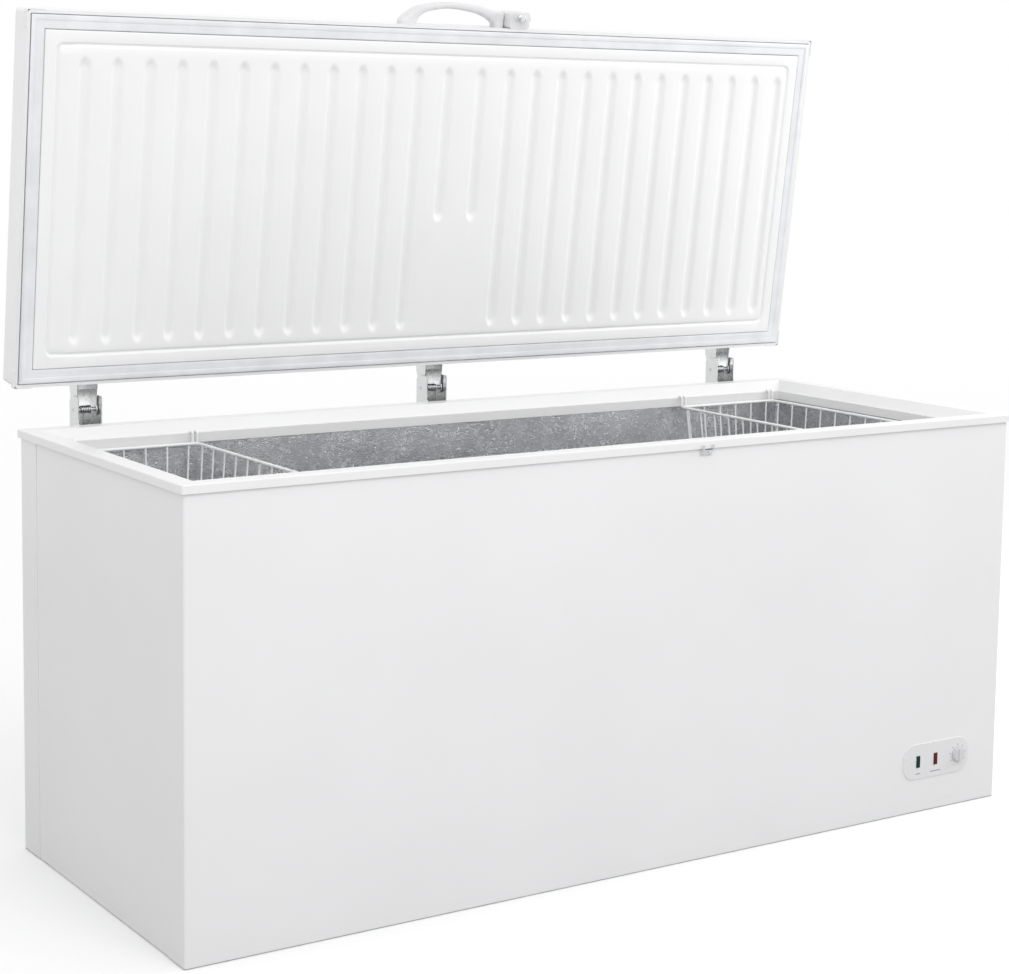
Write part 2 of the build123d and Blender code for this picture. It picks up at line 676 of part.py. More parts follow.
def screw(radius, length, head_radius, head_height):
    """A pan-head screw along -Y with the underside of its head at the origin."""
    shank = rod(radius, length, (0, -length / 2, 0), (0, 1, 0))
    head = rod(head_radius, head_height, (0, head_height / 2, 0), (0, 1, 0))
    head = fillet(head.edges().group_by(Axis.Y)[-1], head_height * 0.6)
    slot = block((-head_radius, head_radius), (head_height - 0.9, head_height + 1), (-0.6, 0.6))
    return shank + head - slot


def hinge_screws():
    """Screws through the bracket flanges into the back panel."""
    one = screw(SCREW_R, BRACKET_T + SHEET, 5, 2.6)
    return Compound(children=[Pos(x, HALF_Y + BRACKET_T, z) * one for x, z in flange_screw_places()])


def leaf_screws():
    """Screws through the leaf flanges into the lid's back edge."""
    one = screw(SCREW_R, LEAF_T + LID_SHEET, 4.5, 2.4)
    return Compound(children=[Pos(x, LID_BACK + LEAF_T, z) * one for x, z in leaf_screw_places()])


# ---------------------------------------------------------------- lid, drawn shut

def lid_outline(inset, z_range):
    """A box over the lid's outline, drawn in from its edge by an inset."""
    return block((-LID_X / 2 + inset, LID_X / 2 - inset), (LID_FRONT + inset, LID_BACK - inset), z_range)


def lid_filling(z_range):
    """The space inside the lid's skin between two heights."""
    filling = lid_outline(LID_SHEET, z_range)
    return fillet(filling.edges().filter_by(Axis.Z), LID_CORNER_R - LID_SHEET)


def lid_outer_shell():
    """Pressed steel skin of the lid, open underneath inside a narrow turned edge."""
    skin = lid_outline(0, (LID_BOTTOM, LID_TOP))
    skin = fillet(skin.edges().filter_by(Axis.Z), LID_CORNER_R)
    skin = fillet(skin.edges().group_by(Axis.Z)[-1], LID_EDGE_R)
    inside = lid_filling((LID_BOTTOM + LID_SHEET, LID_TOP - LID_SHEET))
    skin -= fillet(inside.edges().group_by(Axis.Z)[-1], LID_EDGE_R - LID_SHEET)
    skin -= lid_outline(GASKET_OUT - 1, (LID_BOTTOM - 1, LID_BOTTOM + 5))
    for x, z in leaf_screw_places():
        skin -= rod(SCREW_R, 6, (x, LID_BACK, z), (0, 1, 0))
    for x in HANDLE_SCREW_X:
        skin -= rod(HANDLE_SCREW_R, 6, (x, LID_FRONT, LID_MID_Z), (0, 1, 0))
    return skin


def groove(x, back_gap, grow, low):
    """A round-ended bar used to press one groove, grown for its outside and cut off below a height."""
    depth_radius = (RIB_WIDTH ** 2 / 4 + RIB_DEPTH ** 2) / (2 * RIB_DEPTH)
    z = PANEL_FACE + RIB_DEPTH - depth_radius
    front = LID_FRONT + RIB_FRONT_GAP + RIB_WIDTH / 2
    back = LID_BACK - back_gap - RIB_WIDTH / 2
    grown = depth_radius + grow
    bar = rod(grown, back - front, (x, (front + back) / 2, z), (0, 1, 0))
    bar += Pos(x, front, z) * Sphere(grown)
    bar += Pos(x, back, z) * Sphere(grown)
    return bar & block((x - RIB_WIDTH, x + RIB_WIDTH), (LID_FRONT, LID_BACK), (low, LID_TOP))


def grooves(grow, low):
    """Every groove of the inner panel; the middle two stop short of a plain area."""
    bars = []
    for side in (-1, 1):
        bars.append(groove(RIB_MIDDLE + side * SHORT_RIB_X, SHORT_BACK_GAP, grow, low))
        for index in range(LONG_RIBS):
            out = LONG_RIB_X + index * LONG_RIB_PITCH
            bars.append(groove(RIB_MIDDLE + side * out, RIB_BACK_GAP, grow, low))
    return bars


def panel_body():
    """Sheet of the inner panel before its grooves are pressed."""
    tray = lid_outline(GASKET_IN, (PANEL_FACE, PANEL_FACE + PANEL_T))
    wall = lid_outline(GASKET_IN, (PANEL_FACE, GASKET_SEAT + PANEL_T))
    wall -= lid_outline(GASKET_IN + PANEL_T, (PANEL_FACE - 1, LID_TOP))
    border = lid_filling((GASKET_SEAT, GASKET_SEAT + PANEL_T))
    border -= lid_outline(GASKET_IN, (GASKET_SEAT - 1, GASKET_SEAT + PANEL_T + 1))
    return tray + wall + border


def lid_inner_panel():
    """Vacuum-formed inner panel: gasket seat, raised field, border groove and grooves."""
    panel = panel_body()
    panel += border_groove(PANEL_T)
    for outside in grooves(PANEL_T, PANEL_FACE):
        panel += outside
    panel -= border_groove(0)
    for inside in grooves(0, PANEL_FACE - 1):
        panel -= inside
    return panel


def border_groove(grow):
    """Rectangular groove round the field of the inner panel, grown on its hidden side."""
    top = PANEL_FACE + BORDER_DEPTH + grow
    outer = lid_outline(BORDER_GAP - grow, (PANEL_FACE, top))
    inner = lid_outline(BORDER_GAP + BORDER_WIDTH + grow, (PANEL_FACE - 1, top + 1))
    outer = fillet(outer.edges().filter_by(Axis.Z), BORDER_CORNER_R + BORDER_WIDTH)
    return outer - fillet(inner.edges().filter_by(Axis.Z), BORDER_CORNER_R)


def lid_foam():
    """Foam between the lid's skin and its inner panel."""
    foam = lid_filling((GASKET_SEAT + PANEL_T, LID_TOP - LID_SHEET))
    foam = fillet(foam.edges().group_by(Axis.Z)[-1], LID_EDGE_R - LID_SHEET)
    for x in HANDLE_SCREW_X:
        foam -= rod(HANDLE_SCREW_R + 0.2, 20, (x, LID_FRONT, LID_MID_Z), (0, 1, 0))
    return foam


def lid_gasket():
    """Magnetic seal that lies in the seat round the inner panel."""
    width = GASKET_IN - GASKET_OUT - 0.4
    depth = GASKET_SEAT - RIM_TOP - 0.3
    profile = [(0.4, 3), (2.4, 0), (width - 2, 0), (width, 3), (width, depth), (0.4, depth)]
    ring = mitred_ring(profile, LID_X / 2 - GASKET_OUT, LID_Y / 2 - GASKET_OUT, GASKET_SEAT)
    return Pos(0, LID_MID_Y, 0) * ring


def lid_corner_caps():
    """Plastic caps over the lower corners of the lid's skin."""
    caps = []
    for sx in (-1, 1):
        for sy, edge in ((-1, LID_FRONT), (1, LID_BACK)):
            x = sx * LID_X / 2
            x_range = sorted((x + sx * 1.6, x - sx * 34))
            y_range = sorted((edge + sy * 1.6, edge - sy * 34))
            cap = rounded_block(x_range, y_range, (LID_BOTTOM - 1, LID_BOTTOM + 12), 4)
            caps.append(cap - lid_outline(0, (LID_BOTTOM - 3, LID_TOP)))
    return Compound(children=caps)


# ---------------------------------------------------------------- handle and lock

def handle():
    """Arched pull bar on the lid's front edge with a broad foot at each end."""
    outer = [(x, LID_FRONT - rise) for x, rise in HANDLE_OUTER]
    inner = [(x, LID_FRONT - rise) for x, rise in HANDLE_INNER]
    right = Polyline(outer[-1], (HANDLE_RIGHT, LID_FRONT), inner[0])
    left = Line(inner[-1], outer[0])
    bar = extrude(make_face([Spline(*outer), right, Spline(*inner), left]), amount=HANDLE_Z)
    bar = Pos(0, 0, LID_MID_Z - HANDLE_Z / 2) * bar
    bore = 60
    for x in HANDLE_SCREW_X:
        bar -= rod(HANDLE_SCREW_R + 0.1, bore, (x, LID_FRONT, LID_MID_Z), (0, 1, 0))
        recess_y = LID_FRONT - HANDLE_SEAT - bore / 2
        bar -= rod(HANDLE_SCREW_HEAD_R + 0.2, bore, (x, recess_y, LID_MID_Z), (0, 1, 0))
    return bar


def handle_screws():
    """Screws through the handle's feet into the lid."""
    one = Rot(0, 0, 180) * screw(HANDLE_SCREW_R, 8, HANDLE_SCREW_HEAD_R, 2.2)
    return Compound(children=[Pos(x, LID_FRONT - HANDLE_SEAT, LID_MID_Z) * one for x in HANDLE_SCREW_X])


def lock_housing():
    """Housing at the right end of the handle that carries the lock."""
    low = LID_BOTTOM - 1
    top = LID_BOTTOM + 44
    y_range = (LOCK_Y - LOCK_R - LOCK_WALL, LID_FRONT)
    shape = rounded_block((HANDLE_RIGHT + 0.3, LOCK_X + 22), y_range, (low, top), 6)
    shape = fillet(shape.edges().group_by(Axis.Z)[-1], 3)
    return shape - rod(LOCK_R + RUN_CLEAR, 120, (LOCK_X, LOCK_Y, top), (0, 0, 1))


def lock_barrel():
    """Key barrel through the housing, with a tongue that turns under the striker."""
    top = LID_BOTTOM + 46
    step = LID_BOTTOM - 8
    barrel = rod(LOCK_R, top - step, (LOCK_X, LOCK_Y, (top + step) / 2), (0, 0, 1))
    tip = rod(LOCK_TIP_R, step - LOCK_TIP_Z, (LOCK_X, LOCK_Y, (step + LOCK_TIP_Z) / 2), (0, 0, 1))
    tongue = block((LOCK_X - 15, LOCK_X), (LOCK_Y - 4, LOCK_Y + 4), (LOCK_TIP_Z + 1, LOCK_TIP_Z + 5))
    keyway = block((LOCK_X - 1, LOCK_X + 1), (LOCK_Y - 4.5, LOCK_Y + 4.5), (top - 8, top + 1))
    return barrel + tip + tongue - keyway


def striker():
    """Keeper on the cabinet front: a plate, a shelf for the tongue and two ears."""
    half = STRIKER_HALF
    reach = -HALF_Y - STRIKER_REACH
    shelf_low = STRIKER_SHELF - STRIKER_T
    width = (LOCK_X - half, LOCK_X + half)
    keeper = block(width, (-HALF_Y - STRIKER_T, -HALF_Y), (STRIKER_LOW, STRIKER_SHELF))
    keeper += block(width, (reach, -HALF_Y), (shelf_low, STRIKER_SHELF))
    for side in (-1, 1):
        ends = sorted((LOCK_X + side * half, LOCK_X + side * (half - STRIKER_EAR)))
        keeper += block(ends, (reach, reach + STRIKER_EAR), (shelf_low, STRIKER_TOP))
    for x in striker_screw_places():
        keeper -= rod(STRIKER_SCREW_R, 10, (x, -HALF_Y, STRIKER_SCREW_Z), (0, 1, 0))
    return keeper


def striker_screws():
    """Two small screws that hold the striker."""
    one = Rot(0, 0, 180) * screw(STRIKER_SCREW_R, STRIKER_T + SHEET, 3.2, 1.6)
    y = -HALF_Y - STRIKER_T
    return Compound(children=[Pos(x, y, STRIKER_SCREW_Z) * one for x in striker_screw_places()])


# ---------------------------------------------------------------- baskets

def basket_block(inset, z_range, size_x, size_y):
    """A tapered block that follows the basket's walls, drawn in by an inset."""
    fall = BASKET_TAPER / BASKET_DEPTH
    sections = []
    for z in z_range:
        shrink = 2 * (inset + (BASKET_TOP - z) * fall)
        sections.append(Pos(0, 0, z) * Rectangle(size_x - shrink, size_y - shrink))
    return loft(sections)


def basket(centre_x):
    """Wire basket: a rim wire, upright and floor wires, and four hooks on the ledge."""
    low = BASKET_TOP - BASKET_DEPTH
    shell = basket_block(0, (low, BASKET_TOP), BASKET_X, BASKET_Y)
    shell -= basket_block(BASKET_WIRE, (low + BASKET_WIRE, BASKET_TOP + 1), BASKET_X, BASKET_Y)
    for count, span, turn, reach in ((5, BASKET_X, 0, BASKET_Y), (12, BASKET_Y, 90, BASKET_X)):
        pitch = (span - 2 * BASKET_TAPER) / count
        for index in range(count):
            across = -(pitch * count) / 2 + pitch * (index + 0.5)
            gap = block((across - pitch / 2 + BASKET_WIRE / 2, across + pitch / 2 - BASKET_WIRE / 2),
                        (-reach, reach), (low + BASKET_WIRE, BASKET_TOP - BASKET_RIM_WIRE))
            shell -= Rot(0, 0, turn) * gap
    floor_pitch = (BASKET_Y - 2 * BASKET_TAPER - 2 * BASKET_WIRE) / 12
    for index in range(12):
        y = -floor_pitch * 6 + floor_pitch * (index + 0.5)
        edge = BASKET_X / 2 - BASKET_TAPER - 3 * BASKET_WIRE
        half = floor_pitch / 2 - BASKET_WIRE / 2
        shell -= block((-edge, edge), (y - half, y + half), (low - 1, low + BASKET_WIRE + 1))
    wire = BASKET_RIM_WIRE
    ledge = RIM_TOP - LEDGE_DROP + HOOK_CLEAR
    for x in (-HOOK_X, HOOK_X):
        for side in (-1, 1):
            inner = side * (BASKET_Y / 2 - wire)
            upright = sorted((inner, side * BASKET_Y / 2))
            rest = sorted((inner, side * (RIM_Y - FRAME_INNER + 5)))
            shell += block((x - 4, x + 4), upright, (BASKET_TOP - wire, ledge + 5))
            shell += block((x - 4, x + 4), rest, (ledge, ledge + 5))
    return Pos(centre_x, 0, 0) * shell


PARTS = {
    "base_pan": base_pan,
    "front_panel": front_panel,
    "back_panel": back_panel,
    "left_side_panel": lambda: end_panel(-1),
    "right_side_panel": vented_end_panel,
    "top_frame": top_frame,
    "inner_liner": inner_liner,
    "cabinet_foam": cabinet_foam,
    "bay_lining": bay_lining,
    "evaporator_coil": evaporator_coil,
    "front_condenser_coil": lambda: condenser_coil(-1),
    "back_condenser_coil": lambda: condenser_coil(1),
    "compressor": compressor,
    "compressor_feet": compressor_feet,
    "compressor_bolts": compressor_bolts,
    "starter_cover": starter_cover,
    "suction_pipe": suction_pipe,
    "discharge_pipe": discharge_pipe,
    "filter_drier": filter_drier,
    "capillary_tube": capillary_tube,
    "cable_gland": cable_gland,
    "control_plate": control_plate,
    "power_lens": lambda: indicator_lens(LENS_X[0]),
    "alarm_lens": lambda: indicator_lens(LENS_X[1]),
    "power_lamp_holder": lambda: lamp_holder(LENS_X[0]),
    "alarm_lamp_holder": lambda: lamp_holder(LENS_X[1]),
    "thermostat": thermostat,
    "thermostat_dial": thermostat_dial,
    "left_hinge_bracket": lambda: hinge_bracket(HINGE_X[0]),
    "middle_hinge_bracket": lambda: hinge_bracket(HINGE_X[1]),
    "right_hinge_bracket": lambda: hinge_bracket(HINGE_X[2]),
    "hinge_pins": hinge_pins,
    "hinge_springs": hinge_springs,
    "hinge_screws": hinge_screws,
    "striker": striker,
    "striker_screws": striker_screws,
    "left_basket": lambda: basket(BASKET_CENTRES[0]),
    "right_basket": lambda: basket(BASKET_CENTRES[1]),
}

LID_PARTS = {
    "lid_outer_shell": lid_outer_shell,
    "lid_inner_panel": lid_inner_panel,
    "lid_foam": lid_foam,
    "lid_gasket": lid_gasket,
    "lid_corner_caps": lid_corner_caps,
    "left_hinge_leaf": lambda: hinge_leaf(HINGE_X[0]),
    "middle_hinge_leaf": lambda: hinge_leaf(HINGE_X[1]),
    "right_hinge_leaf": lambda: hinge_leaf(HINGE_X[2]),
    "leaf_screws": leaf_screws,
    "handle": handle,
    "handle_screws": handle_screws,
    "lock_housing": lock_housing,
    "lock_barrel": lock_barrel,
}


def main():
    os.makedirs("parts", exist_ok=True)
    for name, make in PARTS.items():
        export_step(make(), f"parts/{name}.step")
    for name, make in LID_PARTS.items():
        export_step(swing_open(make()), f"parts/{name}.step")


main()
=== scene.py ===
import json
import math

import bmesh
import bpy
from mathutils import Matrix, Vector


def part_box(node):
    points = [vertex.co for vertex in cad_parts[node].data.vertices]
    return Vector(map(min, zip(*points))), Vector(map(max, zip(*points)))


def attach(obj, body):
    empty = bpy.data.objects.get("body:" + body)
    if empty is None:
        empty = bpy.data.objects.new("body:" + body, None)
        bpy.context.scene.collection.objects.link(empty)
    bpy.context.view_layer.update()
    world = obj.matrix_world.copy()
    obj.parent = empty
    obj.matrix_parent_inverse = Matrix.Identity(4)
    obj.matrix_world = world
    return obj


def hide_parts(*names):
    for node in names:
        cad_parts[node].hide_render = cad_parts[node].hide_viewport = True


# Looks of the chest freezer: camera, soft studio light, finishes and the finely shaped pieces.
# Every length is in metres in the part's own frame: +X right, +Y back, +Z up.
# Lid pieces are shaped with the lid shut and are then swung open about the hinge pins.

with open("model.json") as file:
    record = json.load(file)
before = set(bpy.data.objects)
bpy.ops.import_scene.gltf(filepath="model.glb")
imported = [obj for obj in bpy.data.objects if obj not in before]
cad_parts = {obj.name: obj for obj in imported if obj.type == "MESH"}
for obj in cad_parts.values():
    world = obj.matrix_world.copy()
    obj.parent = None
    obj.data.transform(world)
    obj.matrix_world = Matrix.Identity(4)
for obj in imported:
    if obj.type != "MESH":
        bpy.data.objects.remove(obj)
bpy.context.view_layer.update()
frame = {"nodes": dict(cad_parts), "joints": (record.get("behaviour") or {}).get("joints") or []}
NODES = frame["nodes"]

# Camera
IMAGE_WIDTH = 1009
SENSOR = 36.0
FOCAL_PIXELS = 2203.0
AZIMUTH = math.radians(-33.25)
ELEVATION = math.radians(6.47)
ROLL = math.radians(0.80)
CAMERA_AT = Vector((-2.3535, -3.4712, 1.3641))
SHIFT_Y = -0.116

# Lid swing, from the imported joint
LID_JOINT = next(joint for joint in frame["joints"] if joint["name"] == "lid_hinge")
PIN = Vector(LID_JOINT["pos_m"])
OPEN_ANGLE = math.radians(max(LID_JOINT["range_deg"]))
SWING = (Matrix.Translation(PIN) @ Matrix.Rotation(-OPEN_ANGLE, 4, "X") @ Matrix.Translation(-PIN))


# ---------------------------------------------------------------- camera, light and floor

def make_camera():
    """A camera at the viewing angle, with its roll about the line of sight."""
    back = Vector((math.sin(AZIMUTH) * math.cos(ELEVATION),
                   -math.cos(AZIMUTH) * math.cos(ELEVATION),
                   math.sin(ELEVATION)))
    right = (-back).cross(Vector((0, 0, 1))).normalized()
    up = right.cross(-back)
    tilted_right = math.cos(ROLL) * right + math.sin(ROLL) * up
    tilted_up = -math.sin(ROLL) * right + math.cos(ROLL) * up
    turn = Matrix((tilted_right, tilted_up, back)).transposed().to_4x4()
    data = bpy.data.cameras.new("camera")
    data.sensor_width = SENSOR
    data.lens = FOCAL_PIXELS / IMAGE_WIDTH * SENSOR
    data.shift_y = SHIFT_Y
    camera = bpy.data.objects.new("camera", data)
    camera.matrix_world = Matrix.Translation(CAMERA_AT) @ turn
    bpy.context.scene.collection.objects.link(camera)
    bpy.context.scene.camera = camera


def area_light(name, place, target, size, power):
    """A soft square light that faces a point."""
    data = bpy.data.lights.new(name, "AREA")
    data.size = size
    data.energy = power
    light = bpy.data.objects.new(name, data)
    light.location = place
    light.rotation_euler = (Vector(target) - Vector(place)).to_track_quat("-Z", "Y").to_euler()
    bpy.context.scene.collection.objects.link(light)


def make_world(strength, slope):
    """An even white studio whose light changes gently with direction; it looks plain white itself."""
    world = bpy.data.worlds.new("studio")
    bpy.context.scene.world = world
    world.use_nodes = True
    tree = world.node_tree
    shade = tree.nodes["Background"]
    coordinates = tree.nodes.new("ShaderNodeTexCoord")
    tilt = tree.nodes.new("ShaderNodeVectorMath")
    tilt.operation = "DOT_PRODUCT"
    tilt.inputs[1].default_value = slope
    level = tree.nodes.new("ShaderNodeMath")
    level.operation = "ADD"
    level.inputs[1].default_value = 1.0
    light_path = tree.nodes.new("ShaderNodeLightPath")
    choose = tree.nodes.new("ShaderNodeMix")
    choose.inputs["B"].default_value = 1.0 / strength
    tree.links.new(coordinates.outputs["Generated"], tilt.inputs[0])
    tree.links.new(tilt.outputs["Value"], level.inputs[0])
    tree.links.new(light_path.outputs["Is Camera Ray"], choose.inputs["Factor"])
    tree.links.new(level.outputs[0], choose.inputs["A"])
    tree.links.new(choose.outputs["Result"], shade.inputs["Color"])
    shade.inputs["Strength"].default_value = strength


FLOOR_TONE = 0.95        # what the eye sees
FLOOR_BOUNCE = 0.48      # what lights the object from below
FLOOR_RADIUS = 12.0
FLOOR_CLEAR = 2.2        # the fade into the studio's white starts here
FLOOR_FADED = 9.6        # and is complete here


def make_floor():
    """A round pale floor that fades into the white of the studio at its edge."""
    mesh = bpy.data.meshes.new("floor")
    floor = bpy.data.objects.new("floor", mesh)
    bm = bmesh.new()
    bmesh.ops.create_circle(bm, cap_ends=True, segments=96, radius=FLOOR_RADIUS)
    bm.to_mesh(mesh)
    bm.free()
    bpy.context.scene.collection.objects.link(floor)
    material = bpy.data.materials.new("pale_floor")
    material.use_nodes = True
    tree = material.node_tree
    shader = tree.nodes["Principled BSDF"]
    shader.inputs["Roughness"].default_value = 0.85
    light_path = tree.nodes.new("ShaderNodeLightPath")
    tone = tree.nodes.new("ShaderNodeMix")
    tone.data_type = "RGBA"
    tone.inputs["A"].default_value = (*[FLOOR_BOUNCE] * 3, 1)
    tone.inputs["B"].default_value = (*[FLOOR_TONE] * 3, 1)
    tree.links.new(light_path.outputs["Is Camera Ray"], tone.inputs["Factor"])
    tree.links.new(tone.outputs["Result"], shader.inputs["Base Color"])
    white = tree.nodes.new("ShaderNodeEmission")
    coordinates = tree.nodes.new("ShaderNodeTexCoord")
    distance = tree.nodes.new("ShaderNodeVectorMath")
    distance.operation = "LENGTH"
    fade = tree.nodes.new("ShaderNodeMapRange")
    fade.interpolation_type = "SMOOTHSTEP"
    fade.inputs["From Min"].default_value = FLOOR_CLEAR
    fade.inputs["From Max"].default_value = FLOOR_FADED
    mix = tree.nodes.new("ShaderNodeMixShader")
    tree.links.new(coordinates.outputs["Object"], distance.inputs[0])
    tree.links.new(distance.outputs["Value"], fade.inputs["Value"])
    tree.links.new(fade.outputs["Result"], mix.inputs["Fac"])
    tree.links.new(shader.outputs[0], mix.inputs[1])
    tree.links.new(white.outputs[0], mix.inputs[2])
    tree.links.new(mix.outputs[0], tree.nodes["Material Output"].inputs["Surface"])
    mesh.materials.append(material)


# ---------------------------------------------------------------- finishes

TEXTURE_LOW = 0.3        # most of a noise texture lies between these
TEXTURE_HIGH = 0.7
PEBBLE_SMOOTHNESS = 0.6


class Finish:
    """One procedural finish: a Principled shader fed by textures in the piece's own coordinates."""

    def __init__(self, name, colour, roughness, **uniform):
        self.material = bpy.data.materials.new(name)
        self.material.use_nodes = True
        self.tree = self.material.node_tree
        self.shader = self.tree.nodes["Principled BSDF"]
        self.coordinates = self.tree.nodes.new("ShaderNodeTexCoord").outputs["Object"]
        self.height = None
        self.set("Base Color", (*colour, 1))
        self.set("Roughness", roughness)
        for socket, value in uniform.items():
            self.set(socket.replace("_", " "), value)

    def set(self, socket, value):
        self.shader.inputs[socket].default_value = value

    def link(self, output, socket):
        self.tree.links.new(output, socket)

    def noise(self, size, detail=2.0, stretch=(1, 1, 1)):
        """Cloudy noise with features of a given size; stretch squeezes them along an axis."""
        mapping = self.tree.nodes.new("ShaderNodeMapping")
        mapping.inputs["Scale"].default_value = stretch
        texture = self.tree.nodes.new("ShaderNodeTexNoise")
        texture.inputs["Scale"].default_value = 1 / size
        texture.inputs["Detail"].default_value = detail
        self.link(self.coordinates, mapping.inputs["Vector"])
        self.link(mapping.outputs["Vector"], texture.inputs["Vector"])
        return texture.outputs["Fac"]

    def cells(self, size):
        """Rounded pebbles of a given size."""
        texture = self.tree.nodes.new("ShaderNodeTexVoronoi")
        texture.feature = "SMOOTH_F1"
        texture.inputs["Scale"].default_value = 1 / size
        texture.inputs["Smoothness"].default_value = PEBBLE_SMOOTHNESS
        self.link(self.coordinates, texture.inputs["Vector"])
        return texture.outputs["Distance"]

    def spread(self, factor, low, high):
        """Map a texture onto a range of numbers."""
        node = self.tree.nodes.new("ShaderNodeMapRange")
        node.inputs["From Min"].default_value = TEXTURE_LOW
        node.inputs["From Max"].default_value = TEXTURE_HIGH
        node.inputs["To Min"].default_value = low
        node.inputs["To Max"].default_value = high
        self.link(factor, node.inputs["Value"])
        return node.outputs["Result"]

    def colour(self, factor, low, high):
        """Vary the base colour between two tones."""
        node = self.tree.nodes.new("ShaderNodeMix")
        node.data_type = "RGBA"
        node.inputs["A"].default_value = (*low, 1)
        node.inputs["B"].default_value = (*high, 1)
        self.link(self.spread(factor, 0, 1), node.inputs["Factor"])
        self.link(node.outputs["Result"], self.shader.inputs["Base Color"])
        return self

    def rough(self, factor, low, high):
        """Vary the roughness between two values."""
        self.link(self.spread(factor, low, high), self.shader.inputs["Roughness"])
        return self

    def bump(self, factor, depth, strength=1.0):
        """Raise the surface by a texture, on top of any bump already there."""
        node = self.tree.nodes.new("ShaderNodeBump")
        node.inputs["Distance"].default_value = depth
        node.inputs["Strength"].default_value = strength
        self.link(factor, node.inputs["Height"])
        if self.height is not None:
            self.link(self.height, node.inputs["Normal"])
        self.height = node.outputs["Normal"]
        self.link(self.height, self.shader.inputs["Normal"])
        return self


def painted_steel(name, tone):
    """Powder-coated sheet: fine orange peel, faint long waves in the sheet, slight sheen changes."""
    finish = Finish(name, tone, 0.32, Coat_Weight=0.25, Coat_Roughness=0.12)
    pale = tuple(min(1, channel * 1.015) for channel in tone)
    deep = tuple(channel * 0.985 for channel in tone)
    finish.colour(finish.noise(0.35, 3), deep, pale)
    finish.rough(finish.noise(0.06, 3), 0.28, 0.38)
    finish.bump(finish.noise(0.30, 0), 0.0004, 0.35)
    finish.bump(finish.noise(0.0022, 2), 0.00006, 0.5)
    return finish


def moulded_plastic(name, tone, grain=0.0009, shine=0.38):
    """Satin plastic with a fine moulded grain."""
    finish = Finish(name, tone, shine, Specular_IOR_Level=0.5)
    pale = tuple(min(1, channel * 1.012) for channel in tone)
    deep = tuple(channel * 0.988 for channel in tone)
    finish.colour(finish.noise(0.18, 3), deep, pale)
    finish.rough(finish.noise(0.03, 2), shine - 0.05, shine + 0.07)
    finish.bump(finish.noise(grain, 2), 0.00004, 0.5)
    return finish


def stucco_aluminium():
    """Rolled aluminium with a pebbled stucco emboss and dull patches."""
    finish = Finish("stucco_aluminium", (0.72, 0.73, 0.75), 0.3, Metallic=1.0)
    finish.colour(finish.noise(0.09, 3), (0.55, 0.555, 0.575), (0.73, 0.735, 0.75))
    finish.rough(finish.noise(0.012, 3), 0.16, 0.32)
    finish.bump(finish.noise(0.0026, 1), 0.0010, 1.0)
    finish.bump(finish.cells(0.0019), 0.0006, 1.0)
    return finish


def brushed_metal(name, tone, shine, stretch, tarnish=0.9):
    """Plated or bare metal with fine drawn lines and cloudy tarnish."""
    finish = Finish(name, tone, shine, Metallic=1.0)
    finish.colour(finish.noise(0.02, 4), tuple(channel * tarnish for channel in tone), tone)
    finish.rough(finish.noise(0.004, 3, stretch), shine * 0.7, shine * 1.4)
    finish.bump(finish.noise(0.0008, 2, stretch), 0.00004, 0.4)
    return finish


def soft_rubber(name, tone, shine):
    """Extruded rubber or vinyl with a faint skin."""
    finish = Finish(name, tone, shine, Sheen_Weight=0.15)
    pale = tuple(min(1, channel * 1.05) for channel in tone)
    deep = tuple(channel * 0.94 for channel in tone)
    finish.colour(finish.noise(0.05, 4), deep, pale)
    finish.rough(finish.noise(0.01, 3), shine - 0.06, shine + 0.08)
    finish.bump(finish.noise(0.0012, 3), 0.00006, 0.5)
    return finish


def poured_foam():
    """Pale polyurethane foam with open bubbles."""
    finish = Finish("poured_foam", (0.78, 0.70, 0.48), 0.9)
    finish.colour(finish.noise(0.03, 4), (0.70, 0.61, 0.40), (0.83, 0.76, 0.55))
    finish.bump(finish.cells(0.004), 0.0008, 0.8)
    return finish


def lamp_lens(name, tone, deep):
    """Coloured lamp lens, clear over fine vertical flutes."""
    finish = Finish(name, tone, 0.25, Specular_IOR_Level=0.2, Coat_Weight=0.1)
    finish.colour(finish.noise(0.004, 1, (1, 1, 0.1)), deep, tone)
    finish.bump(finish.noise(0.002, 0, (1, 1, 0.02)), 0.0002, 0.5)
    return finish


def compressor_paint():
    """Black stove enamel, slightly dusty."""
    finish = Finish("black_enamel", (0.012, 0.012, 0.013), 0.35, Coat_Weight=0.3)
    finish.colour(finish.noise(0.05, 4), (0.010, 0.010, 0.011), (0.032, 0.031, 0.030))
    finish.rough(finish.noise(0.02, 3), 0.28, 0.5)
    finish.bump(finish.noise(0.003, 2), 0.00012, 0.5)
    return finish


def dress(finish, *names):
    """Give CAD nodes a finish through their objects' material slots."""
    for name in names:
        piece = NODES[name]
        if not piece.material_slots:
            piece.data.materials.append(finish.material)
        for holder in piece.material_slots:
            holder.material = finish.material


# ---------------------------------------------------------------- mesh helpers

SHARP_ANGLE = math.radians(38)
BEND_STEPS = 6
TUBE_SIDES = 10
CAP_RISE = 0.5           # a tube's domed cap, as a share of its radius

def new_piece(name, bm, finish, body, replaces=(), place=Matrix.Identity(4), smooth=True):
    """Turn mesh code into a piece that rides on a body and stands for CAD nodes."""
    bm.transform(place)
    bmesh.ops.recalc_face_normals(bm, faces=bm.faces)
    mesh = bpy.data.meshes.new(name)
    bm.to_mesh(mesh)
    bm.free()
    if smooth:
        mesh.shade_smooth()
        mesh.set_sharp_from_angle(angle=SHARP_ANGLE)
    mesh.materials.append(finish.material)
    piece = bpy.data.objects.new(name, mesh)
    bpy.context.scene.collection.objects.link(piece)
    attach(piece, body)
    if replaces:
        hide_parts(*replaces)
    return piece


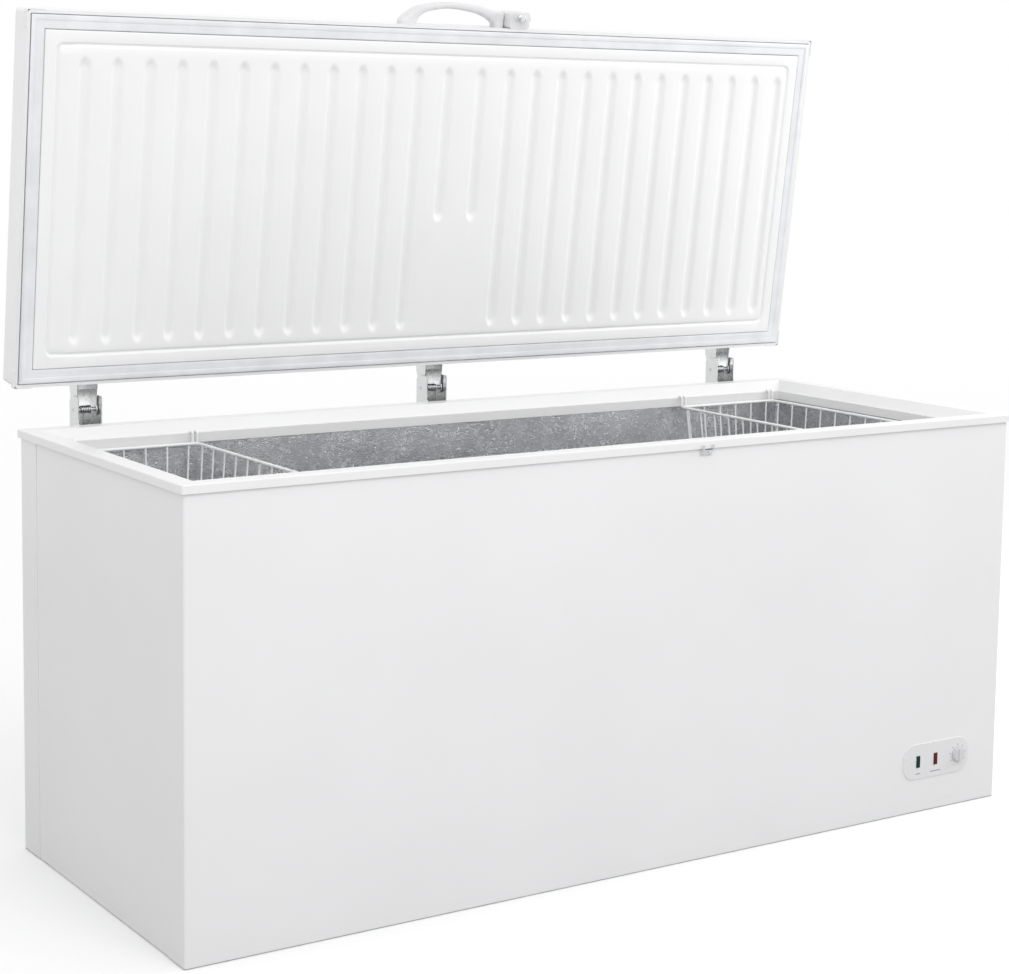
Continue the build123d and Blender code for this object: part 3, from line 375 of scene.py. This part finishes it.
def rounded_route(corners, radius, closed=False):
    """Points along straight runs joined by equal arcs at the corners."""
    count = len(corners)
    route = []
    for index, corner in enumerate(corners):
        if not closed and index in (0, count - 1):
            route.append(Vector(corner))
            continue
        here = Vector(corner)
        before = (Vector(corners[index - 1]) - here)
        after = (Vector(corners[(index + 1) % count]) - here)
        half_turn = (math.pi - before.angle(after)) / 2
        reach = radius * math.tan(half_turn)
        start = here + before.normalized() * reach
        stop = here + after.normalized() * reach
        halfway = (before.normalized() + after.normalized()).normalized()
        centre = here + halfway * (radius / math.cos(half_turn))
        first = (start - centre).normalized()
        last = (stop - centre).normalized()
        for step in range(BEND_STEPS + 1):
            route.append(centre + radius * first.slerp(last, step / BEND_STEPS))
    return route


def tube(bm, route, radius, closed=False):
    """A round tube along a route, capped with a shallow dome unless it is closed."""
    count = len(route)
    tangents = []
    for index, point in enumerate(route):
        after = route[(index + 1) % count] if closed or index < count - 1 else point
        before = route[index - 1] if closed or index > 0 else point
        tangents.append((after - before).normalized())
    side = tangents[0].orthogonal().normalized()
    rings = []
    for point, tangent in zip(route, tangents):
        side = (side - tangent * side.dot(tangent)).normalized()
        across = tangent.cross(side)
        ring = []
        for corner in range(TUBE_SIDES):
            angle = 2 * math.pi * corner / TUBE_SIDES
            ring.append(bm.verts.new(point + radius * (math.cos(angle) * side + math.sin(angle) * across)))
        rings.append(ring)
    pairs = list(zip(rings, rings[1:]))
    if closed:
        offset = min(range(TUBE_SIDES), key=lambda shift: (rings[-1][0].co - rings[0][shift].co).length)
        pairs.append((rings[-1], rings[0][offset:] + rings[0][:offset]))
    for ring, following in pairs:
        for corner in range(TUBE_SIDES):
            onward = (corner + 1) % TUBE_SIDES
            bm.faces.new((ring[corner], ring[onward], following[onward], following[corner]))
    if not closed:
        ends = ((rings[0], route[0], -tangents[0]), (rings[-1], route[-1], tangents[-1]))
        for ring, point, tangent in ends:
            tip = bm.verts.new(point + tangent * radius * CAP_RISE)
            for corner in range(TUBE_SIDES):
                bm.faces.new((ring[corner], ring[(corner + 1) % TUBE_SIDES], tip))


def ring_sweep(bm, profile, half_x, half_y, centre):
    """A rectangular ring with mitred corners from a closed profile of (inward, up) points."""
    rings = []
    for sx, sy in ((-1, -1), (1, -1), (1, 1), (-1, 1)):
        rings.append([bm.verts.new(centre + Vector((sx * (half_x - inward), sy * (half_y - inward), up)))
                      for inward, up in profile])
    for index, ring in enumerate(rings):
        following = rings[(index + 1) % 4]
        for corner in range(len(profile)):
            onward = (corner + 1) % len(profile)
            bm.faces.new((ring[corner], ring[onward], following[onward], following[corner]))


# ---------------------------------------------------------------- baskets

BASKET_TAPER = 0.018
RIM_WIRE = 0.003         # radius of the basket's rim wire
WIRE = 0.0017            # radius of the other wires
RIM_BEND = 0.016
WIRE_BEND = 0.012
BELT_SHARE = 0.62        # how far down the belt lies, as a share of the basket's depth
BELT_OUT = 0.0025        # the belt lies this far inside the upright wires
SIDE_WIRES = 12
SIDE_SPAN = 0.93         # the share of the half length that the side wires cover
LONG_WIRES = 6
LONG_SPAN = 0.85
HOOK_REACH = 0.011       # how far the hooks stand out past the basket
HOOK_RISE = 0.0213
HOOK_WIDTH = 0.0095
HOOK_WIRE = 0.0025
HOOK_BEND = 0.0035
HOOK_INSET = 0.005       # from the basket's end to the hook


def basket(side):
    """Coated wire basket: rim, upright wires that run under the floor, a belt and four hooks."""
    node = side + "_basket"
    low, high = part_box(node)
    middle = (low + high) / 2
    half_x = (high.x - low.x) / 2
    half_y = (high.y - low.y) / 2 - HOOK_REACH
    rim_z = high.z - HOOK_RISE - RIM_WIRE
    depth = rim_z - low.z - WIRE
    bm = bmesh.new()

    def level(share, inset):
        """Half sizes and height of the basket at a share of its depth."""
        shrink = BASKET_TAPER * share + inset
        return half_x - shrink, half_y - shrink, rim_z - depth * share

    def belt(share, inset, radius):
        x, y, z = level(share, inset)
        corners = [(middle.x + sx * x, sy * y, z) for sx, sy in ((-1, -1), (1, -1), (1, 1), (-1, 1))]
        tube(bm, rounded_route(corners, RIM_BEND, closed=True), radius, closed=True)

    belt(0, RIM_WIRE, RIM_WIRE)
    belt(BELT_SHARE, RIM_WIRE + BELT_OUT, WIRE)
    top_x, top_y, top_z = level(0, RIM_WIRE)
    low_x, low_y, low_z = level(1, RIM_WIRE)
    for index in range(SIDE_WIRES):
        y_share = -SIDE_SPAN + 2 * SIDE_SPAN * index / (SIDE_WIRES - 1)
        corners = [(middle.x - top_x, top_y * y_share, top_z), (middle.x - low_x, low_y * y_share, low_z),
                   (middle.x + low_x, low_y * y_share, low_z), (middle.x + top_x, top_y * y_share, top_z)]
        tube(bm, rounded_route(corners, WIRE_BEND), WIRE)
    for index in range(LONG_WIRES):
        x_share = -LONG_SPAN + 2 * LONG_SPAN * index / (LONG_WIRES - 1)
        z = low_z + 2 * WIRE
        corners = [(middle.x + top_x * x_share, -top_y, top_z), (middle.x + low_x * x_share, -low_y, z),
                   (middle.x + low_x * x_share, low_y, z), (middle.x + top_x * x_share, top_y, top_z)]
        tube(bm, rounded_route(corners, WIRE_BEND), WIRE)
    for side_x in (-1, 1):
        for end in (-1, 1):
            rise = high.z - HOOK_WIRE
            out = end * (half_y + HOOK_REACH - HOOK_WIRE)
            at = end * (half_y - RIM_WIRE)
            outer = middle.x + side_x * (half_x - HOOK_INSET)
            inner = outer - side_x * HOOK_WIDTH
            corners = [(outer, at, top_z), (outer, at, rise), (outer, out, rise),
                       (inner, out, rise), (inner, at, rise), (inner, at, top_z)]
            tube(bm, rounded_route(corners, HOOK_BEND), HOOK_WIRE)
    new_piece(side + "_wire_basket", bm, COATED_WIRE, "basket_" + side, [node])


# ---------------------------------------------------------------- lid gasket

GASKET_WIDTH = 0.0266
OUTER_INSET = 0.0003     # the seal's outer wall, inside the panel's edge
BULB_MIDDLE = 0.0055
BULB_HALF = 0.0052
BULB_STEPS = 6
LIP_HALF = 0.0028        # half width of the inner lip
LIP_INSET = 0.0007
LIP_STEPS = 4
FOLD_STEPS = 8           # points along each fold
FOLDS = 3
FOLD_FROM = 0.0118
FOLD_TO = 0.0226
FOLD_SHARE = 0.02        # depth of a fold as a share of the gasket's depth


def shut_box(node):
    """Lowest and highest corners of a lid node with the lid shut."""
    shut = SWING.inverted()
    corners = [shut @ vertex.co for vertex in NODES[node].data.vertices]
    low = Vector([min(point[axis] for point in corners) for axis in range(3)])
    high = Vector([max(point[axis] for point in corners) for axis in range(3)])
    return low, high


def gasket():
    """Magnetic seal: an outer magnet bulb, shallow bellows folds and an inner lip."""
    low, high = shut_box("lid_gasket")
    centre = Vector(((low.x + high.x) / 2, (low.y + high.y) / 2, high.z))
    face = -(high.z - low.z)
    profile = [(OUTER_INSET, 0), (OUTER_INSET, face * 0.60)]
    for index in range(BULB_STEPS + 1):
        angle = math.pi * index / BULB_STEPS
        profile.append((BULB_MIDDLE - BULB_HALF * math.cos(angle), face * (0.80 + 0.18 * math.sin(angle))))
    for index in range(FOLDS * FOLD_STEPS + 1):
        share = index / (FOLDS * FOLD_STEPS)
        wave = 0.5 - 0.5 * math.cos(2 * math.pi * FOLDS * share)
        profile.append((FOLD_FROM + (FOLD_TO - FOLD_FROM) * share, face * (0.79 + FOLD_SHARE * wave)))
    for index in range(LIP_STEPS + 1):
        angle = math.pi / 2 * index / LIP_STEPS
        inward = GASKET_WIDTH - LIP_INSET - LIP_HALF + LIP_HALF * math.sin(angle)
        profile.append((inward, face * (0.45 + 0.34 * math.cos(angle))))
    profile.append((GASKET_WIDTH - LIP_INSET, 0))
    bm = bmesh.new()
    ring_sweep(bm, profile, (high.x - low.x) / 2, (high.y - low.y) / 2, centre)
    new_piece("magnetic_gasket", bm, GASKET, "lid", ["lid_gasket"], SWING)


# ---------------------------------------------------------------- lid inner panel

PANEL_FACE = 0.792       # exposed face, with the lid shut
SEAT = 0.800             # where the gasket lies
PANEL_BACK = 0.8023
SEAT_WIDTH = 0.0328      # from the panel's outer edge to its raised field
WALL_ROUND = 0.0022      # rounding at the edge of the raised field
PANEL_GAP = 0.0012       # from the lid's edge to the panel's
LINE_GAP = 0.00008       # lines of the height field closer than this are merged
GROOVE_LINES = 7         # lines on each side of a groove's middle
BORDER_LINES = 6
LONG_GROOVES = 12        # on each side
PATTERN_MIDDLE = 0.012
SHORT_GROOVE_X = 0.039
LONG_GROOVE_X = 0.1085
LONG_GROOVE_PITCH = 0.06365
GROOVE_FRONT = -0.270
GROOVE_BACK = 0.270
SHORT_GROOVE_BACK = 0.048
GROOVE_DEPTH = 0.0055
GROOVE_FLAT = 0.004      # half width of the groove's flat bottom
GROOVE_HALF = 0.0148
GROOVE_END = 0.55        # how much gentler a groove's ends are than its sides
BORDER_INSET = 0.0595    # from the lid's edge to the middle of the border groove
BORDER_HALF = 0.0055
BORDER_DEPTH = 0.0034
BORDER_ROUND = 0.013


def grooves():
    """(x, front, back) of every groove's centre line."""
    rows = []
    for side in (-1, 1):
        rows.append((PATTERN_MIDDLE + side * SHORT_GROOVE_X, SHORT_GROOVE_BACK))
        for index in range(LONG_GROOVES):
            rows.append((PATTERN_MIDDLE + side * (LONG_GROOVE_X + index * LONG_GROOVE_PITCH), GROOVE_BACK))
    reach = GROOVE_HALF / GROOVE_END
    return [(x, GROOVE_FRONT + reach, back - reach) for x, back in sorted(rows)]


def soft_step(distance, flat, reach):
    """One at the middle, falling smoothly to nothing at the reach."""
    share = min(1, max(0, (distance - flat) / (reach - flat)))
    return 0.5 + 0.5 * math.cos(math.pi * share)


def rounded_border_distance(x, y, half_x, half_y, radius):
    """How far a point lies from a rounded rectangle's outline."""
    across = abs(x) - (half_x - radius)
    along = abs(y) - (half_y - radius)
    outside = math.hypot(max(across, 0), max(along, 0))
    return abs(outside + min(max(across, along), 0) - radius)


def panel_lines(low, high, middles):
    """Where the height field's lines run along one axis: close together over each soft edge."""
    lines = {low, high}
    for edge, inward in ((low, 1), (high, -1)):
        for step in (0, 0.0003, 0.0009, 0.0016, WALL_ROUND):
            lines.add(edge + inward * (SEAT_WIDTH + step))
        lines.add(edge + inward * (SEAT_WIDTH - 0.0001))
        for step in range(-BORDER_LINES, BORDER_LINES + 1):
            lines.add(edge + inward * (BORDER_INSET - PANEL_GAP + BORDER_HALF * step / BORDER_LINES))
    for middle, half in middles:
        for step in range(-GROOVE_LINES, GROOVE_LINES + 1):
            lines.add(middle + half * step / GROOVE_LINES)
    ordered = sorted(lines)
    return [ordered[0]] + [line for before, line in zip(ordered, ordered[1:]) if line - before > LINE_GAP]


def inner_panel():
    """Vacuum-formed panel: gasket seat, raised field, soft border groove and soft long grooves."""
    low, high = shut_box("lid_inner_panel")
    middle_y = (low.y + high.y) / 2
    half_x = (high.x - low.x) / 2
    half_y = (high.y - low.y) / 2
    rows = grooves()
    columns = panel_lines(low.x, high.x, [(x, GROOVE_HALF) for x, _, _ in rows])
    reach = GROOVE_HALF / GROOVE_END / 2
    ends = [(GROOVE_FRONT + reach, reach), (GROOVE_BACK - reach, reach), (SHORT_GROOVE_BACK - reach, reach)]
    levels = panel_lines(low.y, high.y, ends)
    border_x = half_x - BORDER_INSET + PANEL_GAP
    border_y = half_y - BORDER_INSET + PANEL_GAP

    def height(x, y):
        inset = min(half_x - abs(x), half_y - abs(y - middle_y))
        if inset < SEAT_WIDTH:
            return SEAT
        top = PANEL_FACE
        edge = inset - SEAT_WIDTH
        if edge < WALL_ROUND:
            top += WALL_ROUND - math.sqrt(WALL_ROUND ** 2 - (WALL_ROUND - edge) ** 2)
        border = rounded_border_distance(x, y - middle_y, border_x, border_y, BORDER_ROUND)
        top += BORDER_DEPTH * soft_step(border, 0, BORDER_HALF)
        nearest = min(rows, key=lambda row: abs(row[0] - x))
        along = GROOVE_END * max(nearest[1] - y, y - nearest[2], 0)
        return top + GROOVE_DEPTH * soft_step(math.hypot(x - nearest[0], along), GROOVE_FLAT, GROOVE_HALF)

    bm = bmesh.new()
    face = [[bm.verts.new((x, y, height(x, y))) for y in levels] for x in columns]
    for left, right in zip(face, face[1:]):
        for index in range(len(levels) - 1):
            bm.faces.new((left[index], left[index + 1], right[index + 1], right[index]))
    rim = [line[0] for line in face] + face[-1][1:] + [line[-1] for line in reversed(face[:-1])]
    rim += list(reversed(face[0][1:-1]))
    back = [bm.verts.new((vertex.co.x, vertex.co.y, PANEL_BACK)) for vertex in rim]
    for index in range(len(rim)):
        onward = (index + 1) % len(rim)
        bm.faces.new((rim[index], rim[onward], back[onward], back[index]))
    bm.faces.new(back)
    new_piece("lid_liner_panel", bm, PANEL_PLASTIC_PAINTED_LIGHT, "lid", ["lid_inner_panel"], SWING)


# ---------------------------------------------------------------- handle

HANDLE_HALF = 0.014      # half of the handle's height along the lid's edge
HANDLE_STEPS = 7         # sections between two given ones
HANDLE_SIDES = 28
HANDLE_SQUARENESS = 0.62 # below one, a section bulges from an ellipse towards a rectangle
HANDLE_SECTIONS = (      # (x, rise) on the outer and then on the inner face, from the left foot
    ((-0.132, 0.000), (-0.097, 0.000)), ((-0.130, 0.010), (-0.093, 0.010)),
    ((-0.106, 0.028), (-0.083, 0.020)), ((-0.084, 0.037), (-0.062, 0.0275)),
    ((-0.025, 0.0455), (-0.020, 0.0325)), ((0.040, 0.0425), (0.038, 0.0265)),
    ((0.082, 0.0345), (0.068, 0.0170)), ((0.1075, 0.0305), (0.081, 0.0090)),
    ((0.1077, 0.014), (0.085, 0.0040)), ((0.1077, 0.000), (0.086, 0.0000)))


def smooth_run(points, steps):
    """Points along a soft curve that passes through every given point."""
    padded = [points[0]] + list(points) + [points[-1]]
    run = []
    for before, start, stop, after in zip(padded, padded[1:], padded[2:], padded[3:]):
        for step in range(steps):
            t = step / steps
            run.append(start + 0.5 * t * (stop - before + t * (2 * before - 5 * start + 4 * stop - after
                       + t * (3 * start - before - 3 * stop + after))))
    return run + [points[-1]]


def pull_handle():
    """Arched pull bar: rounded sections that lean from a broad left foot to the lock's side."""
    front = shut_box("lid_outer_shell")[0].y
    low, high = shut_box("handle")
    middle_z = (low.z + high.z) / 2
    pairs = []
    for side in (0, 1):
        places = [section[side] for section in HANDLE_SECTIONS]
        points = [Vector((x, front - rise, middle_z)) for x, rise in places]
        pairs.append(smooth_run(points, HANDLE_STEPS))
    bm = bmesh.new()
    rings = []
    for outer, inner in zip(*pairs):
        middle = (outer + inner) / 2
        reach = (outer - inner) / 2
        ring = []
        for corner in range(HANDLE_SIDES):
            angle = 2 * math.pi * corner / HANDLE_SIDES
            across = math.copysign(abs(math.cos(angle)) ** HANDLE_SQUARENESS, math.cos(angle))
            up = math.copysign(abs(math.sin(angle)) ** HANDLE_SQUARENESS, math.sin(angle))
            point = middle + reach * across + Vector((0, 0, HANDLE_HALF * up))
            point.y = min(point.y, front)
            ring.append(bm.verts.new(point))
        rings.append(ring)
    for ring, following in zip(rings, rings[1:]):
        for corner in range(HANDLE_SIDES):
            onward = (corner + 1) % HANDLE_SIDES
            bm.faces.new((ring[corner], ring[onward], following[onward], following[corner]))
    bm.faces.new(rings[0])
    bm.faces.new(list(reversed(rings[-1])))
    new_piece("lid_pull_handle", bm, HANDLE_PLASTIC, "lid", ["handle"], SWING)


# ---------------------------------------------------------------- printed marks

MARK_PROUD = 0.00012     # thickness of the ink on the plate
LAMP_DASHES = (("power_lens", 0.012), ("alarm_lens", 0.028))
DASH_DROP = 0.0245       # below the lamp's middle
DASH_HEIGHT = 0.0017
DIAL_TICKS = 7
TICK_RADIUS = 0.0205
TICK_SIZE = (0.0014, 0.0036)
TICK_REACH = math.radians(120)   # the ticks run this far either side of the top


def printed_bar(bm, x, z, width, height, turn=0.0):
    """A thin printed bar on the control plate's face, turned about its middle."""
    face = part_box("control_plate")[0].y
    size = Matrix.Diagonal((width, 2 * MARK_PROUD, height, 1))
    place = Matrix.Translation((x, face, z)) @ Matrix.Rotation(turn, 4, "Y")
    bmesh.ops.create_cube(bm, size=1, matrix=place @ size)


def printed_marks():
    """Plain dashes under the lamps and ticks round the dial."""
    bm = bmesh.new()
    for lamp, width in LAMP_DASHES:
        low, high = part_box(lamp)
        middle = (low + high) / 2
        printed_bar(bm, middle.x, middle.z - DASH_DROP, width, DASH_HEIGHT)
    low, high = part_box("thermostat_dial")
    middle = (low + high) / 2
    for index in range(DIAL_TICKS):
        turn = -TICK_REACH + 2 * TICK_REACH * index / (DIAL_TICKS - 1)
        x = middle.x + TICK_RADIUS * math.sin(turn)
        z = middle.z + TICK_RADIUS * math.cos(turn)
        printed_bar(bm, x, z, *TICK_SIZE, turn)
    new_piece("control_marks", bm, MARK_INK, "cabinet", smooth=False)


# ---------------------------------------------------------------- build

make_camera()
make_world(strength=1.07, slope=(-0.035, 0.0, -0.08))
make_floor()
area_light("key", place=(-0.7, -2.5, 2.6), target=(-0.3, 0.1, 0.7), size=1.6, power=20)
area_light("side", place=(2.8, -0.9, 1.9), target=(0.5, 0.5, 1.4), size=0.8, power=18)
bpy.context.scene.view_settings.view_transform = "Standard"

WHITE_STEEL = painted_steel("white_painted_steel", (0.83, 0.83, 0.84))
FRAME_PLASTIC = moulded_plastic("white_frame_plastic", (0.82, 0.82, 0.82), 0.0009, 0.34)
# The lid panel's white is toned brighter than the frame plastic and the steel: painted light, making up for
# the light that the downward-facing panel misses.
PANEL_PLASTIC_PAINTED_LIGHT = moulded_plastic("white_lid_panel_painted_light", (0.895, 0.895, 0.90), 0.0012, 0.42)
STUCCO = stucco_aluminium()
GASKET = soft_rubber("gasket_vinyl", (0.79, 0.80, 0.82), 0.5)
FOAM = poured_foam()
ZINC = brushed_metal("zinc_plate", (0.80, 0.81, 0.81), 0.30, (1, 1, 0.5), 0.97)
CHROME = brushed_metal("chrome", (0.82, 0.83, 0.84), 0.08, (1, 1, 0.3), 0.97)
SPRING = brushed_metal("spring_steel", (0.62, 0.63, 0.64), 0.22, (0.1, 1, 1))
GALVANISED = brushed_metal("galvanised", (0.66, 0.68, 0.69), 0.42, (1, 1, 1), 0.8)
COATED_WIRE = moulded_plastic("coated_wire", (0.88, 0.88, 0.88), 0.002, 0.28)
COPPER = brushed_metal("copper", (0.80, 0.40, 0.25), 0.28, (1, 1, 1), 0.72)
BLACK_PAINT = compressor_paint()
BLACK_RUBBER = soft_rubber("black_rubber", (0.02, 0.02, 0.021), 0.6)
BLACK_PLASTIC = moulded_plastic("black_plastic", (0.03, 0.03, 0.031), 0.001, 0.45)
PLATE = moulded_plastic("control_plate", (0.77, 0.77, 0.78), 0.0008, 0.3)
MARK_INK = moulded_plastic("mark_ink", (0.30, 0.30, 0.31), 0.0008, 0.4)
HANDLE_PLASTIC = moulded_plastic("handle_plastic", (0.72, 0.72, 0.73), 0.001, 0.24)
# The lock housing's plastic is toned grey: painted shade for the shadow that falls under the housing.
LOCK_PLASTIC_PAINTED_SHADE = moulded_plastic("lock_plastic_painted_shade", (0.76, 0.76, 0.77), 0.001, 0.28)
# The dial's plastic is toned darker: partly its own grey, partly painted shade for the dark arcs round its
# edge.
DIAL = moulded_plastic("dial_plastic", (0.68, 0.68, 0.69), 0.0008, 0.3)
GREEN_LENS = lamp_lens("green_lens", (0.002, 0.055, 0.040), (0.001, 0.022, 0.016))
RED_LENS = lamp_lens("red_lens", (0.150, 0.014, 0.012), (0.060, 0.006, 0.006))

dress(WHITE_STEEL, "front_panel", "back_panel", "left_side_panel", "right_side_panel", "lid_outer_shell")
dress(FRAME_PLASTIC, "top_frame", "lid_corner_caps")
dress(STUCCO, "inner_liner")
dress(FOAM, "cabinet_foam", "lid_foam")
dress(GALVANISED, "base_pan", "bay_lining", "evaporator_coil", "front_condenser_coil", "back_condenser_coil")
dress(ZINC, "left_hinge_bracket", "middle_hinge_bracket", "right_hinge_bracket",
      "left_hinge_leaf", "middle_hinge_leaf", "right_hinge_leaf", "hinge_screws", "leaf_screws",
      "striker_screws", "handle_screws", "compressor_bolts")
dress(SPRING, "hinge_springs", "hinge_pins")
dress(CHROME, "lock_barrel", "striker")
dress(COPPER, "suction_pipe", "discharge_pipe", "filter_drier", "capillary_tube")
dress(BLACK_PAINT, "compressor")
dress(BLACK_RUBBER, "compressor_feet", "cable_gland")
dress(BLACK_PLASTIC, "starter_cover", "power_lamp_holder", "alarm_lamp_holder", "thermostat")
dress(PLATE, "control_plate")
# Lock housing: grey-toned plastic, painted shade.
dress(LOCK_PLASTIC_PAINTED_SHADE, "lock_housing")
# Dial: darker-toned plastic, partly painted shade.
dress(DIAL, "thermostat_dial")
dress(GREEN_LENS, "power_lens")
dress(RED_LENS, "alarm_lens")

basket("left")
basket("right")
gasket()
inner_panel()
pull_handle()
printed_marks()
